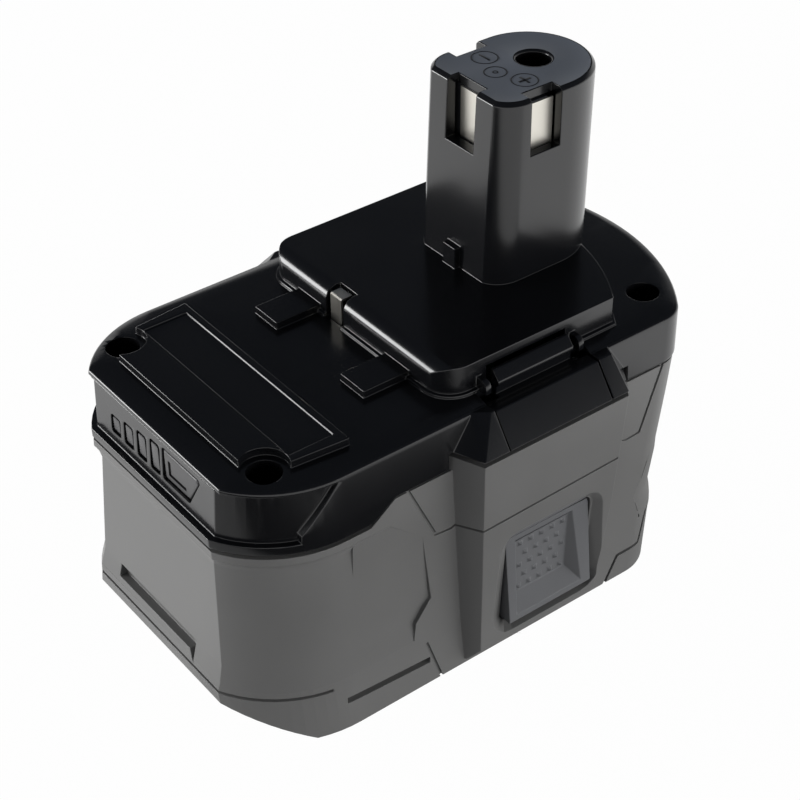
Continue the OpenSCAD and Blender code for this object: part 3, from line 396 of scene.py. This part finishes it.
# Latches
# Each latch is one moulding: a grip button low on the side, an arm, a panel and a hook bar.
# The grip is satin like the case, and what stands above the panel's foot is glossy like the cover.
LATCH_EDGE = 0.0002
PANEL_FOOT = 0.0535
latch_black = finish("latch_black", (0.105, 0.107, 0.112), 0.42, mottle=0.04, grain=5000.0,
                     relief=0.00001, shine=0.7)
for side in ("latch_right", "latch_left"):
    latch = moulding(side, side + "_body", LATCH_EDGE, latch_black)
    latch.data.materials.append(gloss_black)
    for face in latch.data.polygons:
        if face.center.z > PANEL_FOOT:
            face.material_index = 1

# Screws
# Four pan-head screws of plated steel sit at the bottom of the deep wells in the cover.
# They go down into the posts of the case.
paint(finish("screw_steel", (0.2, 0.2, 0.21), 0.35, metal=1.0), "case_screws")

# Studio floor
# A white sweep of paper that the camera sees as white. In glossy reflections it carries a painted
# shadow of the pack: white in front and behind, grey under the pack and dark beside it at the right.
FLOOR_SIZE = 6.0
PAPER_GREY = (0.6, 0.6, 0.6, 1.0)
PAPER_ROUGH = 0.9
# Distance to the right of the middle, in metres, and the floor's painted shadow tone there in
# reflections
SWEEP_SHADOW_TONES = ((0.0, 1.0), (0.02, 0.36), (0.055, 0.36), (0.07, 0.01), (0.115, 0.01), (0.145, 0.8))
BEHIND_FROM = 0.07
BEHIND_TO = 0.1
SWEEP_SHARE = 0.985
bpy.ops.object.select_all(action="DESELECT")
bpy.ops.mesh.primitive_plane_add(size=FLOOR_SIZE, location=(0.0, 0.0, 0.0))
floor = bpy.context.active_object
floor.name = "floor"
sweep = bpy.data.materials.new("white_sweep")
sweep.use_nodes = True
sweep_nodes = sweep.node_tree.nodes
sweep_links = sweep.node_tree.links


def sweep_sum(operation, first, second):
    """A Math node of the sweep with its first input linked and its second linked or set."""
    node = sweep_nodes.new("ShaderNodeMath")
    node.operation = operation
    sweep_links.new(first, node.inputs[0])
    if isinstance(second, float):
        node.inputs[1].default_value = second
    else:
        sweep_links.new(second, node.inputs[1])
    return node.outputs["Value"]


sweep_paper = sweep_nodes["Principled BSDF"]
sweep_paper.inputs["Base Color"].default_value = PAPER_GREY
sweep_paper.inputs["Roughness"].default_value = PAPER_ROUGH
sweep_place = sweep_nodes.new("ShaderNodeTexCoord")
sweep_split = sweep_nodes.new("ShaderNodeSeparateXYZ")
sweep_links.new(sweep_place.outputs["Object"], sweep_split.inputs["Vector"])
sweep_painted_shadow = sweep_nodes.new("ShaderNodeValToRGB")
stops = sweep_painted_shadow.color_ramp.elements
for number, (place, tone) in enumerate(SWEEP_SHADOW_TONES):
    stop = stops[number] if number < 2 else stops.new(place)
    stop.position = place
    stop.color = (tone, tone, tone, 1.0)
sweep_links.new(sweep_split.outputs["X"], sweep_painted_shadow.inputs["Fac"])
sweep_behind = sweep_nodes.new("ShaderNodeMapRange")
sweep_behind.inputs["From Min"].default_value = BEHIND_FROM
sweep_behind.inputs["From Max"].default_value = BEHIND_TO
sweep_links.new(sweep_split.outputs["Y"], sweep_behind.inputs["Value"])
sweep_seen = sweep_nodes.new("ShaderNodeLightPath")
to_camera = sweep_seen.outputs["Is Camera Ray"]
to_gloss = sweep_seen.outputs["Is Glossy Ray"]
# The painted shadow is lifted to white behind the pack, and only glossy rays see it.
sweep_shadowed_tone = sweep_sum("MAXIMUM", sweep_painted_shadow.outputs["Color"], sweep_behind.outputs["Result"])
sweep_mirror = sweep_sum("MULTIPLY", sweep_shadowed_tone, to_gloss)
sweep_glow = sweep_nodes.new("ShaderNodeEmission")
sweep_links.new(sweep_sum("ADD", sweep_mirror, to_camera), sweep_glow.inputs["Strength"])
sweep_sharp = sweep_sum("MAXIMUM", to_gloss, to_camera)
sweep_mix = sweep_nodes.new("ShaderNodeMixShader")
sweep_links.new(sweep_sum("MULTIPLY", sweep_sharp, SWEEP_SHARE), sweep_mix.inputs["Fac"])
sweep_links.new(sweep_paper.outputs["BSDF"], sweep_mix.inputs[1])
sweep_links.new(sweep_glow.outputs["Emission"], sweep_mix.inputs[2])
sweep_links.new(sweep_mix.outputs["Shader"], sweep_nodes["Material Output"].inputs["Surface"])
floor.data.materials.append(sweep)

# Studio light
# A dark ceiling over a pale horizon, white to the camera. A wide lamp at the front left and one at
# the right light the pack, and only the narrow edge lamp shows in glossy faces.
HORIZON = 0.1
HORIZON_TONE = (0.8, 0.8, 0.8, 1.0)
CEILING = 0.4
CEILING_TONE = (0.04, 0.045, 0.055, 1.0)
LAMP_AIM = (0.0, 0.0, 0.05)
world = bpy.data.worlds.new("studio")
bpy.context.scene.world = world
world.use_nodes = True
sky_nodes = world.node_tree.nodes
sky_links = world.node_tree.links
sky_place = sky_nodes.new("ShaderNodeTexCoord")
sky_split = sky_nodes.new("ShaderNodeSeparateXYZ")
sky_ramp = sky_nodes.new("ShaderNodeValToRGB")
sky_ramp.color_ramp.elements[0].position = HORIZON
sky_ramp.color_ramp.elements[0].color = HORIZON_TONE
sky_ramp.color_ramp.elements[1].position = CEILING
sky_ramp.color_ramp.elements[1].color = CEILING_TONE
sky_plain = sky_nodes["Background"]
sky_white = sky_nodes.new("ShaderNodeBackground")
sky_seen = sky_nodes.new("ShaderNodeLightPath")
sky_mix = sky_nodes.new("ShaderNodeMixShader")
sky_links.new(sky_place.outputs["Generated"], sky_split.inputs["Vector"])
sky_links.new(sky_split.outputs["Z"], sky_ramp.inputs["Fac"])
sky_links.new(sky_ramp.outputs["Color"], sky_plain.inputs["Color"])
sky_links.new(sky_seen.outputs["Is Camera Ray"], sky_mix.inputs["Fac"])
sky_links.new(sky_plain.outputs["Background"], sky_mix.inputs[1])
sky_links.new(sky_white.outputs["Background"], sky_mix.inputs[2])
sky_links.new(sky_mix.outputs["Shader"], sky_nodes["World Output"].inputs["Surface"])


def softbox(name, place, width, height, power, mirrored):
    """A rectangular area lamp at place, turned to the pack, that glossy faces mirror or not."""
    lamp = bpy.data.lights.new(name, "AREA")
    lamp.shape = "RECTANGLE"
    lamp.size = width
    lamp.size_y = height
    lamp.energy = power
    stand = bpy.data.objects.new(name, lamp)
    bpy.context.scene.collection.objects.link(stand)
    stand.location = place
    stand.rotation_euler = (Vector(LAMP_AIM) - Vector(place)).to_track_quat("-Z", "Y").to_euler()
    stand.visible_glossy = mirrored


softbox("key_lamp", (-0.72, -0.78, 0.2), 1.7, 0.36, 16.0, mirrored=False)
softbox("edge_lamp", (-0.75, -0.75, 0.2), 0.36, 0.36, 3.6, mirrored=True)
softbox("fill_lamp", (0.85, 0.5, 0.16), 1.4, 0.34, 11.5, mirrored=False)

# Camera
# The camera stands at the angle the photograph was taken from, on a long lens.
# Its place and turn were solved from the pack's own edges.
CAMERA_PLACE = (0.25374, -0.1915, 0.28188)
CAMERA_TURN = (52.921, 0.449, 52.393)
LENS_MM = 83.85
SENSOR_MM = 36.0
NEAREST = 0.01
optics = bpy.data.cameras.new("camera")
optics.lens = LENS_MM
optics.sensor_width = SENSOR_MM
optics.clip_start = NEAREST
camera = bpy.data.objects.new("camera", optics)
bpy.context.scene.collection.objects.link(camera)
camera.location = CAMERA_PLACE
camera.rotation_euler = Euler([math.radians(turn) for turn in CAMERA_TURN])
bpy.context.scene.camera = camera
bpy.context.scene.view_settings.view_transform = "Standard"

bpy.context.view_layer.update()
